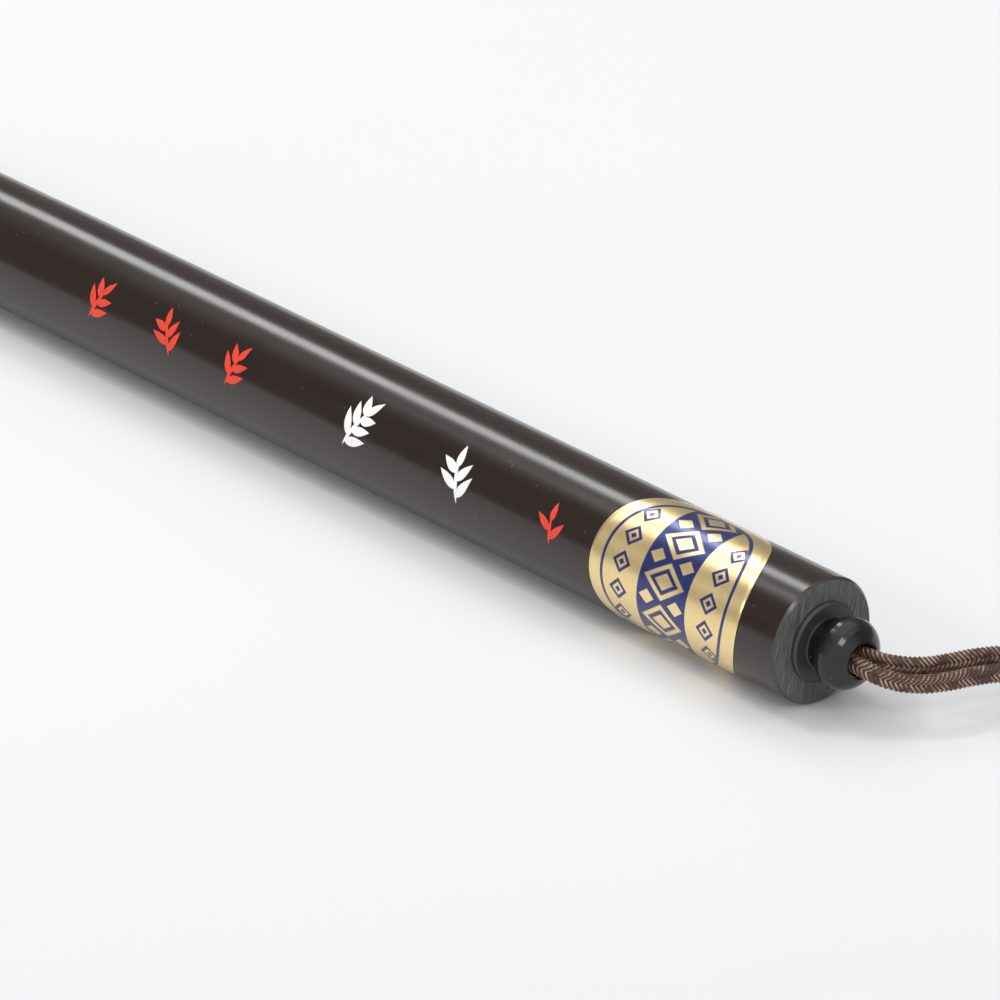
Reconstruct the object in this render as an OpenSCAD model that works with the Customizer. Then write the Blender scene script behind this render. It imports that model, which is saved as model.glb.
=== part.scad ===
// Calligraphy brush, lying along X on the plane z = 0, tuft towards -X.
// Millimetres. The origin is under the middle of the brush's length.

/* [Shaft] */
// Length of the wooden shaft, mouth to tail face
shaft_len = 200; // [150:1:260]
// Diameter of the straight stretch at the tail
tail_d = 13.5; // [12:0.1:18]
// Diameter of the straight stretch at the mouth
mouth_d = 12.9; // [12.7:0.1:17]
// Length of the straight stretch behind the mouth, where a cap slides on
cap_seat_len = 20; // [10:1:40]
// Length of the straight stretch at the tail
tail_straight_len = 120; // [45:1:150]
// Length of the rounded outer edge at the mouth
mouth_round_len = 0.9; // [0.3:0.1:1.5]
// Depth of the rounded outer edge at the mouth
mouth_round_depth = 0.3; // [0.1:0.05:0.3]
// Chamfer round the tail face
tail_chamfer = 0.3; // [0.1:0.05:1]

/* [Root socket] */
// Diameter of the socket that holds the tuft's root
socket_d = 11; // [9.5:0.1:11.2]
// Depth of the socket
socket_len = 15; // [14:0.5:25]
// Length of the flare between the socket and the mouth
flare_len = 2.5; // [1:0.1:4]
// Thickness of the glue film round the root and round the finial's spigot
glue_film = 0.1; // [0.05:0.01:0.2]
// Thickness of the glue on the socket's floor
glue_floor = 0.5; // [0.2:0.1:1]
// Gap between the hair and the mouth
mouth_gap = 0.05; // [0.02:0.01:0.1]

/* [Tuft] */
// Length of hair that stands out of the mouth, to the point
tuft_len = 60.8; // [50:0.2:75]
// Largest diameter of the tuft
tuft_d = 11.9; // [11.5:0.1:12.1]
// Diameter of the core hair
core_d = 6; // [4:0.1:7]
// Diameter of the bundle with the short waist hair round the core
waist_d = 8; // [7.5:0.1:8.8]
// Length of the short waist hair in front of the mouth
waist_len = 16; // [6:0.5:16]
// Diameter of the long life hair in the middle
life_d = 1.2; // [0.6:0.1:1.6]
// Length of point that only the life hair makes
point_len = 3.8; // [3:0.1:5]
// Diameter of the very point
point_d = 0.1; // [0.08:0.01:0.2]

/* [Bending] */
// Distance from the mouth to the middle of the bend
bend_from_mouth = 22; // [21:0.5:26]
// Largest bend to each side, in degrees
bend_deg = 35; // [15:1:35]
// Gap between the two halves of the hair at the bend
bend_gap = 0.15; // [0.1:0.01:0.3]

/* [Root binding] */
// Thickness of the hemp thread round the root
thread_d = 0.34; // [0.2:0.02:0.36]
// Depth of the groove that the thread pulls into the hair
groove_depth = 0.4; // [0.38:0.01:0.6]
// Turns of thread
thread_turns = 8; // [3:1:9]
// Length of the burnt and sealed butt of the hair
seal_len = 1.5; // [0.5:0.1:2]

/* [Tail finial] */
// Diameter of the collar that sits on the tail face
collar_d = 8.6; // [7:0.1:11]
// Thickness of the collar
collar_len = 0.6; // [0.4:0.1:1.5]
// Diameter of the neck between the collar and the bead
neck_d = 5.4; // [4.8:0.1:6.5]
// Largest diameter of the bead
bead_d = 7.6; // [7:0.1:10]
// Length of the bead, before its front is opened for the cord
bead_len = 5.4; // [4:0.1:8]
// Length of the neck, collar to the bead's full curve
neck_len = 0.2; // [0.1:0.05:1]
// Diameter of the hole for the cord
cord_hole_d = 3.2; // [3.2:0.05:3.4]
// Radius of the lip round the hole
lip_r = 0.5; // [0.2:0.05:0.5]
// Diameter of the hole in the tail that takes the spigot
tail_bore_d = 6.1; // [5.6:0.1:7]
// Length of the spigot
spigot_len = 8; // [8:0.5:8]
// Depth of the room for the knot behind the spigot
knot_room_len = 6; // [5.5:0.5:12]

/* [Cord] */
// Thickness of the hanging cord
cord_d = 1.5; // [1.2:0.1:1.5]
// Diameter of the knot
knot_d = 5.2; // [4:0.1:5.4]
// Length of the knot
knot_len = 4.6; // [3:0.1:5]

/* [Label and marks] */
// Size of the foil label along the shaft
label_len = 21.8; // [16:0.1:28]
// Size of the foil label round the shaft
label_wrap = 24; // [14:0.2:25]
// Distance from the tail face to the middle of the label
label_from_tail = 16.3; // [14.5:0.1:26]
// Direction the label faces, from straight up towards -Y, in degrees
label_turn = 68; // [60:1:70]
// Thickness of the foil
label_film = 0.08; // [0.04:0.01:0.12]
// Thickness of the paint of the marks
paint_film = 0.04; // [0.02:0.01:0.1]
// Direction the marks face, from straight up towards -Y, in degrees
marks_turn = 62; // [0:1:120]
// Length of one leaf of a mark
leaf_len = 2.6; // [1.5:0.1:3.5]
// Width of one leaf of a mark
leaf_width = 0.85; // [0.4:0.05:1.2]

/* [Hidden] */
$fn = 96;

// Stations along X, measured from the mouth: in_ is inside the shaft
bead_r = bead_d / 2;
hole_r = cord_hole_d / 2;
bead_mid = collar_len + neck_len + bead_len / 2;
front_r = hole_r + lip_r;
finial_len = bead_mid + bead_len / 2 * sqrt(1 - pow(front_r / bead_r, 2));
total_len = tuft_len + shaft_len + finial_len;
mouth_x = tuft_len - total_len / 2;
tail_x = mouth_x + shaft_len;
axis_z = tail_d / 2;

tail_r = tail_d / 2;
mouth_r = mouth_d / 2;
tuft_r0 = tuft_d / 2;
mouth_bore_r = tuft_r0 + mouth_gap;
socket_r = socket_d / 2;
root_r = socket_r - glue_film;
bound_r = root_r - groove_depth;
core_r = core_d / 2;
waist_r = waist_d / 2;
life_r = life_d / 2;
tail_bore_r = tail_bore_d / 2;
tail_bore_len = spigot_len + knot_room_len;
spigot_r = tail_bore_r - glue_film;

// The hair's butt, and the bound stretch in front of it
butt_in = socket_len - glue_floor - seal_len;
thread_pitch = thread_d + 0.06;
bound_len = thread_turns * thread_pitch + 0.4;
groove_slope = 0.8;

// Outline of the tuft: full at the belly and drawn to a point
BELLY_POWER = 2.7;
POINT_POWER = 1.2;
function tuft_r(u) = tuft_r0 * pow(1 - pow(u / tuft_len, BELLY_POWER), POINT_POWER);

// The bend: the tip half carries a ball, and the root half a cup that clears it
ball_r = tuft_r(bend_from_mouth);
cup_r = ball_r + bend_gap;
rim_u = bend_from_mouth - ball_r * sin(bend_deg) - 2 * bend_gap;
function ball_back(r, ball) = bend_from_mouth - sqrt(ball * ball - r * r);

// Where the inner hair groups end, in front of the mouth
waist_taper_u = waist_len - 5;
core_taper_u = tuft_len * 0.6;
core_end_u = tuft_len - point_len - 7;
core_end_r = life_r + 0.4;
life_start_u = bend_from_mouth + 8;
cover_end_u = tuft_len - point_len;

ARC_STEPS = 10;
OGIVE_STEPS = 18;

// A turned piece on the brush's axis. A profile point is [radius, x].
module turned(profile)
    translate([0, 0, axis_z]) rotate([0, 90, 0]) rotate_extrude() polygon(profile);

// The same profile, measured from the mouth towards the tip
function from_mouth(profile) = [for (p = profile) [p[0], mouth_x - p[1]]];
// The same profile, measured from the tail face outwards
function from_tail(profile) = [for (p = profile) [p[0], tail_x + p[1]]];

// Quarter or part of an ellipse, from angle a0 to a1: [radius, x]
function arc(r_mid, x_mid, r_half, x_half, a0, a1) =
    [for (i = [0:ARC_STEPS]) let (a = a0 + (a1 - a0) * i / ARC_STEPS)
        [r_mid + r_half * sin(a), x_mid + x_half * cos(a)]];

// The hair's outline between two stations
function ogive(u0, u1) =
    [for (i = [0:OGIVE_STEPS]) let (u = u0 + (u1 - u0) * i / OGIVE_STEPS) [tuft_r(u), u]];

// The face of the ball or the cup, from radius r0 to r1
function ball_face(ball, r0, r1) =
    [for (i = [0:ARC_STEPS]) let (r = r0 + (r1 - r0) * i / ARC_STEPS)
        [r, ball_back(r, ball)]];

// Outside of the shaft, with a film of the given thickness on it
function shaft_outside(film) = [
    [tail_r + film, tail_x],
    [tail_r + film, tail_x - tail_straight_len],
    [mouth_r + film, mouth_x + cap_seat_len],
    [mouth_r + film, mouth_x + mouth_round_len]];

module shaft() {
    mouth_edge = arc(mouth_r - mouth_round_depth, -mouth_round_len,
                     mouth_round_depth, mouth_round_len, 90, 0);
    color([0.09, 0.06, 0.05]) turned(concat(
        from_tail([[tail_bore_r, -tail_bore_len], [tail_bore_r, 0],
                   [tail_r - tail_chamfer, 0], [tail_r, -tail_chamfer],
                   [tail_r, -tail_straight_len]]),
        from_mouth(concat([[mouth_r, -cap_seat_len]], mouth_edge,
                          [[mouth_bore_r, 0], [socket_r, -flare_len],
                           [socket_r, -socket_len], [0, -socket_len]])),
        from_tail([[0, -tail_bore_len]])));
}

module socket_glue() {
    color([0.72, 0.60, 0.35]) turned(from_mouth([
        [root_r, -flare_len - 0.5], [socket_r, -flare_len - 0.5],
        [socket_r, -socket_len], [0, -socket_len],
        [0, -socket_len + glue_floor], [root_r, -socket_len + glue_floor]]));
}

module root_seal() {
    color([0.12, 0.07, 0.04]) turned(from_mouth([
        [0, -butt_in], [bound_r, -butt_in],
        [bound_r, -butt_in - seal_len], [0, -butt_in - seal_len]]));
}

module root_binding() {
    first_in = butt_in - 0.2 - thread_pitch / 2;
    color([0.78, 0.72, 0.58])
        for (i = [0:thread_turns - 1])
            translate([mouth_x + first_in - i * thread_pitch, 0, axis_z]) rotate([0, 90, 0])
                rotate_extrude() translate([bound_r + thread_d / 2, 0])
                    circle(d = thread_d, $fn = 24);
}

module waist_hair() {
    color([0.60, 0.40, 0.20]) turned(from_mouth([
        [core_r, -butt_in], [waist_r, -butt_in],
        [waist_r, waist_taper_u], [core_r, waist_len]]));
}

module core_hair_root() {
    color([0.55, 0.34, 0.16]) turned(from_mouth(concat(
        [[0, -butt_in], [core_r, -butt_in]],
        ball_face(cup_r, core_r, 0))));
}

module cover_hair_root() {
    rim_cup_r = sqrt(cup_r * cup_r - pow(bend_from_mouth - rim_u, 2));
    color([0.80, 0.58, 0.32]) turned(from_mouth(concat(
        [[waist_r, -butt_in], [bound_r, -butt_in], [bound_r, -butt_in + bound_len],
         [root_r, -butt_in + bound_len + groove_slope], [root_r, -flare_len]],
        ogive(0, rim_u),
        ball_face(cup_r, rim_cup_r, core_r),
        [[core_r, waist_len], [waist_r, waist_taper_u]])));
}

module core_hair_tip() {
    color([0.50, 0.28, 0.13]) turned(from_mouth(concat(
        ball_face(ball_r, 0, core_r),
        [[core_r, core_taper_u], [core_end_r, core_end_u], [life_r, core_end_u],
         [life_r, life_start_u], [0, life_start_u]])));
}

module cover_hair_tip() {
    color([0.66, 0.42, 0.22]) turned(from_mouth(concat(
        ball_face(ball_r, core_r, ball_r),
        [for (i = [1:OGIVE_STEPS])
            let (u = bend_from_mouth + (cover_end_u - bend_from_mouth) * i / OGIVE_STEPS)
            [tuft_r(u), u]],
        [[life_r, cover_end_u], [life_r, core_end_u], [core_end_r, core_end_u],
         [core_r, core_taper_u]])));
}

module life_hair() {
    color([0.33, 0.17, 0.12]) turned(from_mouth([
        [0, life_start_u], [life_r, life_start_u], [life_r, cover_end_u],
        [point_d / 2, tuft_len], [0, tuft_len]]));
}

module finial() {
    bead_start = acos((neck_d / 2) / bead_r);
    bead_end = asin(front_r / bead_r);
    lip = arc(front_r, finial_len - lip_r, lip_r, lip_r, 0, -90);
    color([0.05, 0.04, 0.04]) turned(from_tail(concat(
        [[hole_r, -spigot_len], [spigot_r, -spigot_len], [spigot_r, 0],
         [collar_d / 2, 0], [collar_d / 2, collar_len / 2],
         [collar_d / 2 - 0.2, collar_len], [neck_d / 2 + 0.2, collar_len],
         [neck_d / 2, collar_len + 0.15]],
        arc(0, bead_mid, bead_r, bead_len / 2, 90 + bead_start, bead_end),
        lip)));
}

module finial_glue() {
    color([0.72, 0.60, 0.35]) turned(from_tail([
        [spigot_r, -spigot_len + 0.5], [tail_bore_r, -spigot_len + 0.5],
        [tail_bore_r, 0], [spigot_r, 0]]));
}

module cord_knot() {
    knot_round = 0.9;
    color([0.25, 0.14, 0.10]) turned(from_tail(concat(
        [[0, -spigot_len - knot_len]],
        arc(knot_d / 2 - knot_round, -spigot_len - knot_len + knot_round,
            knot_round, knot_round, 180, 90),
        arc(knot_d / 2 - knot_round, -spigot_len - knot_round,
            knot_round, knot_round, 90, 0),
        [[0, -spigot_len]])));
}

// Route of the cord, out of the bead, round its loop on the table and back:
// distance behind the tail face, sideways, height of the centreline
CORD_ROUTE = [
    [-8, 0.8, 6.75], [-3, 0.8, 6.75], [0.8, 0.8, 6.75], [3.6, 0.8, 6.75],
    [5.7, 0.95, 6.75], [7.5, 1.7, 6.6], [8.9, 3.1, 6.35], [9.9, 5.1, 6.1],
    [10.7, 7.6, 6], [11.6, 10.5, 5.9], [13, 13.9, 5.5], [15.3, 17.6, 4.5],
    [18.8, 21, 3], [23.6, 23.9, 1.6], [29.6, 25.8, 0.92], [37, 26.9, 0.77],
    [46, 27.3, 0.75], [54.6, 26.8, 0.75], [59, 25, 0.75], [60.8, 20.6, 0.75],
    [59, 16.2, 0.75], [54.6, 14.4, 0.75], [46, 14, 0.75], [37, 15.7, 0.75],
    [30, 17.5, 0.82], [24.4, 18.4, 1.1], [20, 18, 1.95], [16.8, 16.5, 3],
    [14.7, 14.1, 4], [13.4, 11.3, 4.5], [12.5, 8.6, 4.65], [11.7, 6, 4.7],
    [10.8, 3.7, 4.85], [9.5, 1.7, 5.2], [7.8, 0.2, 5.8], [5.9, -0.6, 6.45],
    [3.6, -0.8, 6.75], [0.8, -0.8, 6.75], [-3, -0.8, 6.75], [-8, -0.8, 6.75]];
// The heights above hold for this height of the bead's hole
ROUTE_AXIS_Z = 6.75;
REST_Z = 0.75;
RINGS_PER_POINT = 2;
CORD_SIDES = 8;

function spline(a, b, c, d, t) =
    0.5 * (2 * b + (c - a) * t + (2 * a - 5 * b + 4 * c - d) * t * t
           + (3 * b - a - 3 * c + d) * t * t * t);
function at_axis(p) =
    [p[0], p[1], REST_Z + (p[2] - REST_Z) * (axis_z - REST_Z) / (ROUTE_AXIS_Z - REST_Z)];
function clamp_i(i, n) = max(0, min(n - 1, i));
function smooth(route) = let (n = len(route)) concat(
    [for (i = [0:n - 2]) for (k = [0:RINGS_PER_POINT - 1])
        spline(route[clamp_i(i - 1, n)], route[i], route[i + 1],
               route[clamp_i(i + 2, n)], k / RINGS_PER_POINT)],
    [route[n - 1]]);
function unit(v) = v / norm(v);
function heading(path, i) = let (n = len(path))
    unit(path[clamp_i(i + 1, n)] - path[clamp_i(i - 1, n)]);
function ring(path, i) =
    let (t = heading(path, i), side = unit(cross([0, 0, 1], t)), up = cross(t, side))
    [for (j = [0:CORD_SIDES - 1]) let (a = 360 * j / CORD_SIDES)
        path[i] + cord_d / 2 * (cos(a) * side + sin(a) * up)];

module tube(path) {
    rings = len(path);
    n = CORD_SIDES;
    points = [for (i = [0:rings - 1]) for (p = ring(path, i)) p];
    sides = [for (i = [0:rings - 2]) for (j = [0:n - 1]) for (half = [0, 1])
        let (a = i * n + j, b = i * n + (j + 1) % n)
        half == 0 ? [a, a + n, b] : [b, a + n, b + n]];
    first_cap = [[for (j = [0:n - 1]) j]];
    last_cap = [[for (j = [n - 1:-1:0]) (rings - 1) * n + j]];
    polyhedron(points, concat(sides, first_cap, last_cap));
}

module hanging_cord() {
    color([0.27, 0.16, 0.12]) translate([tail_x, 0, 0])
        tube(smooth([for (p = CORD_ROUTE) at_axis(p)]));
}

// The label is an oval of foil bent round the straight stretch at the tail.
// It is a strip of flat facets, one for each step round the shaft.
LABEL_STEPS = 56;
LABEL_POWER = 2.2;
LABEL_GAP = 0.01;
module foil_label() {
    half_turn = label_wrap / 2 / tail_r * 180 / PI;
    inner_r = tail_r + LABEL_GAP;
    s = [for (i = [0:LABEL_STEPS]) -0.998 * cos(180 * i / LABEL_STEPS)];
    points = [for (v = s)
        let (a = -label_turn + half_turn * v,
             half = label_len / 2 * pow(1 - pow(abs(v), LABEL_POWER), 1 / LABEL_POWER))
        for (corner = [[-half, inner_r], [half, inner_r],
                       [half, inner_r + label_film], [-half, inner_r + label_film]])
            [corner[0], corner[1] * sin(a), corner[1] * cos(a)]];
    walls = [for (i = [0:LABEL_STEPS - 1]) for (j = [0:3]) for (tri = [0, 1])
        let (a = 4 * i + j, b = 4 * i + (j + 1) % 4)
        tri == 0 ? [a, a + 4, b] : [b, a + 4, b + 4]];
    last = 4 * LABEL_STEPS;
    color([0.83, 0.68, 0.32]) translate([tail_x - label_from_tail, 0, axis_z])
        polyhedron(points, concat(walls, [[0, 1, 2, 3]],
                                  [[last + 3, last + 2, last + 1, last]]));
}

// Angle between a twig's stem and its leaves
LEAF_SPREAD = 48;

// One leaf in the plane, from its stem at the origin towards +X
module leaf(length, width) {
    steps = 8;
    edge = [for (i = [0:steps]) let (t = i / steps)
        [length * t, width / 2 * sin(180 * pow(t, 0.75))]];
    polygon(concat(edge, [for (i = [steps - 1:-1:1]) [edge[i][0], -edge[i][1]]]));
}

// A twig with pairs of leaves and one leaf at its end, in the plane
module twig(size, pairs) {
    stem_len = leaf_len * size * (0.9 + 0.35 * pairs);
    leaf(stem_len, leaf_width * size * 0.45);
    for (i = [0:pairs - 1])
        for (side = [-1, 1])
            translate([stem_len * (i + 0.6 + 0.25 * side) / (pairs + 1), 0])
                rotate(side * LEAF_SPREAD)
                    leaf(leaf_len * size * (1 - 0.14 * i), leaf_width * size);
    translate([stem_len * 0.72, 0])
        rotate(-8) leaf(leaf_len * size * 0.8, leaf_width * size * 0.9);
}

// A twig cut through the paint film, with its stem turned by lean
module sprig(from_tail, size, pairs, lean) {
    translate([tail_x - from_tail, 0, axis_z]) rotate([marks_turn, 0, 0]) rotate(lean)
        translate([-leaf_len * size, 0, 0]) linear_extrude(tail_d) twig(size, pairs);
}

module paint() {
    intersection() {
        difference() {
            turned(concat([[0, tail_x]], shaft_outside(paint_film),
                          [[0, mouth_x + mouth_round_len]]));
            turned(concat([[0, tail_x + 1]],
                          [[tail_r, tail_x + 1]], shaft_outside(0),
                          [[mouth_r, mouth_x]], [[0, mouth_x]]));
        }
        union() children();
    }
}

module red_marks() {
    color([0.80, 0.12, 0.07]) paint() {
        sprig(33.7, 1, 1, 100);
        sprig(83.8, 1.05, 2, 70);
        sprig(95.2, 1.05, 2, 115);
        sprig(106.5, 1.05, 2, 65);
    }
}

module white_marks() {
    color([0.93, 0.92, 0.89]) paint() {
        sprig(48.3, 1.2, 2, 105);
        sprig(64, 1.2, 3, 60);
    }
}

shaft();
socket_glue();
root_seal();
root_binding();
waist_hair();
core_hair_root();
cover_hair_root();
core_hair_tip();
cover_hair_tip();
life_hair();
finial();
finial_glue();
cord_knot();
hanging_cord();
foil_label();
red_marks();
white_marks();
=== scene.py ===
"""Calligraphy brush: hair tuft, printed label, braided cord and finishes round the packed model."""

import math
import random

import bmesh
import bpy
import numpy as np
from mathutils import Matrix, Vector


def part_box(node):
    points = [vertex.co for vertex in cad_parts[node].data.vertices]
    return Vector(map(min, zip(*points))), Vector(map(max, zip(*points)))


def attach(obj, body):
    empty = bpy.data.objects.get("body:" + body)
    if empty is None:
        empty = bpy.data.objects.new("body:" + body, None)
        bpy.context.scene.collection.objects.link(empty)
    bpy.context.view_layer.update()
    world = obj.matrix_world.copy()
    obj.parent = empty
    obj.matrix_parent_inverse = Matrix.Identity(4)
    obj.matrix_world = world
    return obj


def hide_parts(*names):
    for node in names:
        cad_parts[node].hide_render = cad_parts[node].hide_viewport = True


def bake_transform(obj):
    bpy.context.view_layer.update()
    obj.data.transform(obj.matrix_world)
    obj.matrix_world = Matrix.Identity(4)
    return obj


bl_info = {
    "name": "Calligraphy Brush",
    "version": (1, 0, 0),
    "blender": (4, 5, 0),
    "location": "3D View > Sidebar > Brush",
    "description": "Builds the hair, label, cord and finishes of a calligraphy brush",
    "category": "Add Mesh",
}

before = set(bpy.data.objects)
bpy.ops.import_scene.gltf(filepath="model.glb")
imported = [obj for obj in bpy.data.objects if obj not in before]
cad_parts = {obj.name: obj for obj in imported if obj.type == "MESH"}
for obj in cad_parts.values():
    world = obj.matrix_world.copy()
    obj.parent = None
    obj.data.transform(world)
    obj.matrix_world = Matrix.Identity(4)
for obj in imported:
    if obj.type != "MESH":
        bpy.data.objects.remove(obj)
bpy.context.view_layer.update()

MM = 0.001
SHAFT_LOW, SHAFT_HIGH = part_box("shaft")
MOUTH_X = SHAFT_LOW.x
TAIL_X = SHAFT_HIGH.x
TAIL_R = (SHAFT_HIGH.z - SHAFT_LOW.z) / 2
AXIS_Z = (SHAFT_HIGH.z + SHAFT_LOW.z) / 2
TIP_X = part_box("life_hair")[0].x
BUTT_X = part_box("cover_hair_root")[1].x
TUFT_LEN = MOUTH_X - TIP_X
ROOT_DEPTH = BUTT_X - MOUTH_X

# The mouth's rounded edge and the tail's chamfer
MOUTH_EDGE = 0.9 * MM
TAIL_CHAMFER = 0.3 * MM
# The finial's collar, which is left matte
COLLAR_LEN = 0.65 * MM

# Outline of the hair, as in the model
BELLY_POWER = 2.7
POINT_POWER = 1.2
ROOT_R = 5.4 * MM
BOUND_R = 5.0 * MM
BOUND_LEN = 3.6 * MM
GROOVE_SLOPE = 0.8 * MM
FLARE_LEN = 2.5 * MM

# Label outline, as in the model
LABEL_FROM_TAIL = 16.3 * MM
LABEL_TURN = math.radians(68)
LABEL_POWER = 2.2
LABEL_GAP = 0.01 * MM

# Layout of the label's print, in millimetres. A row is a distance from the tail face, and
# a lozenge's two numbers are its half sizes along the shaft and round it
PRINT_MIDDLE = 16.4
PRINT_OVAL = (8.95, 10.1)
BAND_HALF = 3.55
BAND_PITCH = 4.4
BIG_LOZENGE = (2.9, 2.0)
SMALL_LOZENGE = (1.35, 0.9)
CORNER_LOZENGE = (1.1, 0.8)
CORNER_ROWS = (14.3, 18.5)
SIDE_LOZENGE = (1.3, 1.2)
SIDE_ROWS = (9.9, 22.7)
SIDE_PITCH = 2.9
SIDE_REACH = 7.2

# Route of the cord, as in the model, in millimetres:
# distance behind the tail face, sideways, height of the centreline
CORD_ROUTE = [
    (-8, 0.8, 6.75), (-3, 0.8, 6.75), (0.8, 0.8, 6.75), (3.6, 0.8, 6.75),
    (5.7, 0.95, 6.75), (7.5, 1.7, 6.6), (8.9, 3.1, 6.35), (9.9, 5.1, 6.1),
    (10.7, 7.6, 6), (11.6, 10.5, 5.9), (13, 13.9, 5.5), (15.3, 17.6, 4.5),
    (18.8, 21, 3), (23.6, 23.9, 1.6), (29.6, 25.8, 0.92), (37, 26.9, 0.77),
    (46, 27.3, 0.75), (54.6, 26.8, 0.75), (59, 25, 0.75), (60.8, 20.6, 0.75),
    (59, 16.2, 0.75), (54.6, 14.4, 0.75), (46, 14, 0.75), (37, 15.7, 0.75),
    (30, 17.5, 0.82), (24.4, 18.4, 1.1), (20, 18, 1.95), (16.8, 16.5, 3),
    (14.7, 14.1, 4), (13.4, 11.3, 4.5), (12.5, 8.6, 4.65), (11.7, 6, 4.7),
    (10.8, 3.7, 4.85), (9.5, 1.7, 5.2), (7.8, 0.2, 5.8), (5.9, -0.6, 6.45),
    (3.6, -0.8, 6.75), (0.8, -0.8, 6.75), (-3, -0.8, 6.75), (-8, -0.8, 6.75)]
# The braid is flatter than the model's round cord, so on the table it lies lower by this
LIES_LOWER = 0.2 * MM
TABLE_Z = 0.75 * MM
LEAVES_TABLE_Z = 2.25 * MM
# The cord stands on edge above the first height and lies flat below the second
CORD_ON_EDGE_Z = 2.6 * MM
CORD_FLAT_Z = 0.6 * MM


# ---------------------------------------------------------------- settings

class CordSettings(bpy.types.PropertyGroup):
    """Sizes and colours of the hanging cord."""

    width: bpy.props.FloatProperty(
        name="Width", description="Width of the flat braid",
        default=0.0019, unit="LENGTH")
    thickness: bpy.props.FloatProperty(
        name="Thickness", description="Thickness of one of the braid's two ridges",
        default=0.001, unit="LENGTH")
    rib_pitch: bpy.props.FloatProperty(
        name="Rib pitch", description="Distance between the slanting ribs of the braid",
        default=0.0005, unit="LENGTH")
    rib_height: bpy.props.FloatProperty(
        name="Rib height", description="How far the ribs stand out of the braid",
        default=0.0001, unit="LENGTH")
    # Between the ribs the dark colour carries painted shade, and the light colour is a painted
    # highlight on the ribs' crests
    dark: bpy.props.FloatVectorProperty(
        name="Dark yarn", description="Colour between the ribs",
        default=(0.026, 0.010, 0.007), subtype="COLOR")
    light: bpy.props.FloatVectorProperty(
        name="Painted crest highlight", description="Colour of the ribs' crests",
        default=(0.66, 0.43, 0.29), subtype="COLOR")


class LabelSettings(bpy.types.PropertyGroup):
    """Sizes and colours of the foil label."""

    length: bpy.props.FloatProperty(
        name="Length", description="Size of the label along the shaft",
        default=0.0218, unit="LENGTH")
    wrap: bpy.props.FloatProperty(
        name="Wrap", description="Size of the label round the shaft",
        default=0.024, unit="LENGTH")
    film: bpy.props.FloatProperty(
        name="Film", description="Thickness of the foil",
        default=0.00008, unit="LENGTH")
    foil: bpy.props.FloatVectorProperty(
        name="Foil", description="Colour of the metal foil",
        default=(0.90, 0.68, 0.30), subtype="COLOR")
    ink: bpy.props.FloatVectorProperty(
        name="Ink", description="Colour of the printed band and line",
        default=(0.012, 0.019, 0.105), subtype="COLOR")


class TuftSettings(bpy.types.PropertyGroup):
    """Sizes and colours of the hair tuft."""

    radius: bpy.props.FloatProperty(
        name="Radius", description="Radius of the tuft at the mouth",
        default=0.00595, unit="LENGTH")
    hairs: bpy.props.IntProperty(
        name="Hairs", description="Number of separate hairs on the surface",
        default=1900, min=0)
    hair_radius: bpy.props.FloatProperty(
        name="Hair radius", description="Radius of one hair",
        default=0.000048, unit="LENGTH")
    straw: bpy.props.FloatVectorProperty(
        name="Straw", description="Colour of the palest hair near the mouth",
        default=(1.0, 0.74, 0.38), subtype="COLOR")
    tan: bpy.props.FloatVectorProperty(
        name="Tan", description="Colour of the hair over the belly",
        default=(0.70, 0.34, 0.115), subtype="COLOR")
    brown: bpy.props.FloatVectorProperty(
        name="Brown", description="Colour of the hair towards the tip",
        default=(0.31, 0.125, 0.055), subtype="COLOR")
    tip: bpy.props.FloatVectorProperty(
        name="Tip", description="Colour of the tip",
        default=(0.17, 0.075, 0.048), subtype="COLOR")


class ShaftSettings(bpy.types.PropertyGroup):
    """Colours of the shaft and the marks painted on it."""

    lacquer: bpy.props.FloatVectorProperty(
        name="Lacquer", description="Colour of the lacquered wood",
        default=(0.0085, 0.0038, 0.0020), subtype="COLOR")
    grain: bpy.props.FloatVectorProperty(
        name="Grain", description="Colour of the grain that shows through the lacquer",
        default=(0.0200, 0.0085, 0.0042), subtype="COLOR")
    raw_end: bpy.props.FloatVectorProperty(
        name="Raw end", description="Colour of the matte faces at both ends",
        default=(0.026, 0.027, 0.028), subtype="COLOR")
    red: bpy.props.FloatVectorProperty(
        name="Red", description="Colour of the red marks",
        default=(0.80, 0.050, 0.020), subtype="COLOR")
    white: bpy.props.FloatVectorProperty(
        name="White", description="Colour of the white marks",
        default=(0.93, 0.92, 0.90), subtype="COLOR")


class StageSettings(bpy.types.PropertyGroup):
    """Camera and floor."""

    camera_place: bpy.props.FloatVectorProperty(
        name="Camera", description="Place of the camera",
        default=(0.6375, -0.4936, 0.3640), subtype="TRANSLATION", unit="LENGTH")
    camera_pitch: bpy.props.FloatProperty(
        name="Pitch", description="Angle of the view below level",
        default=math.radians(25.73), subtype="ANGLE")
    camera_turn: bpy.props.FloatProperty(
        name="Turn", description="Heading of the view, from +Y towards -X",
        default=math.radians(48.52), subtype="ANGLE")
    camera_roll: bpy.props.FloatProperty(
        name="Roll", description="Tilt of the camera about its own line of sight",
        default=0.0, subtype="ANGLE")
    lens: bpy.props.FloatProperty(
        name="Lens", description="Focal length in millimetres on a 36 mm sensor",
        default=288.0)
    floor_size: bpy.props.FloatProperty(
        name="Floor", description="Side of the square floor",
        default=8.0, unit="LENGTH")


# ---------------------------------------------------------------- node wiring

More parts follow.
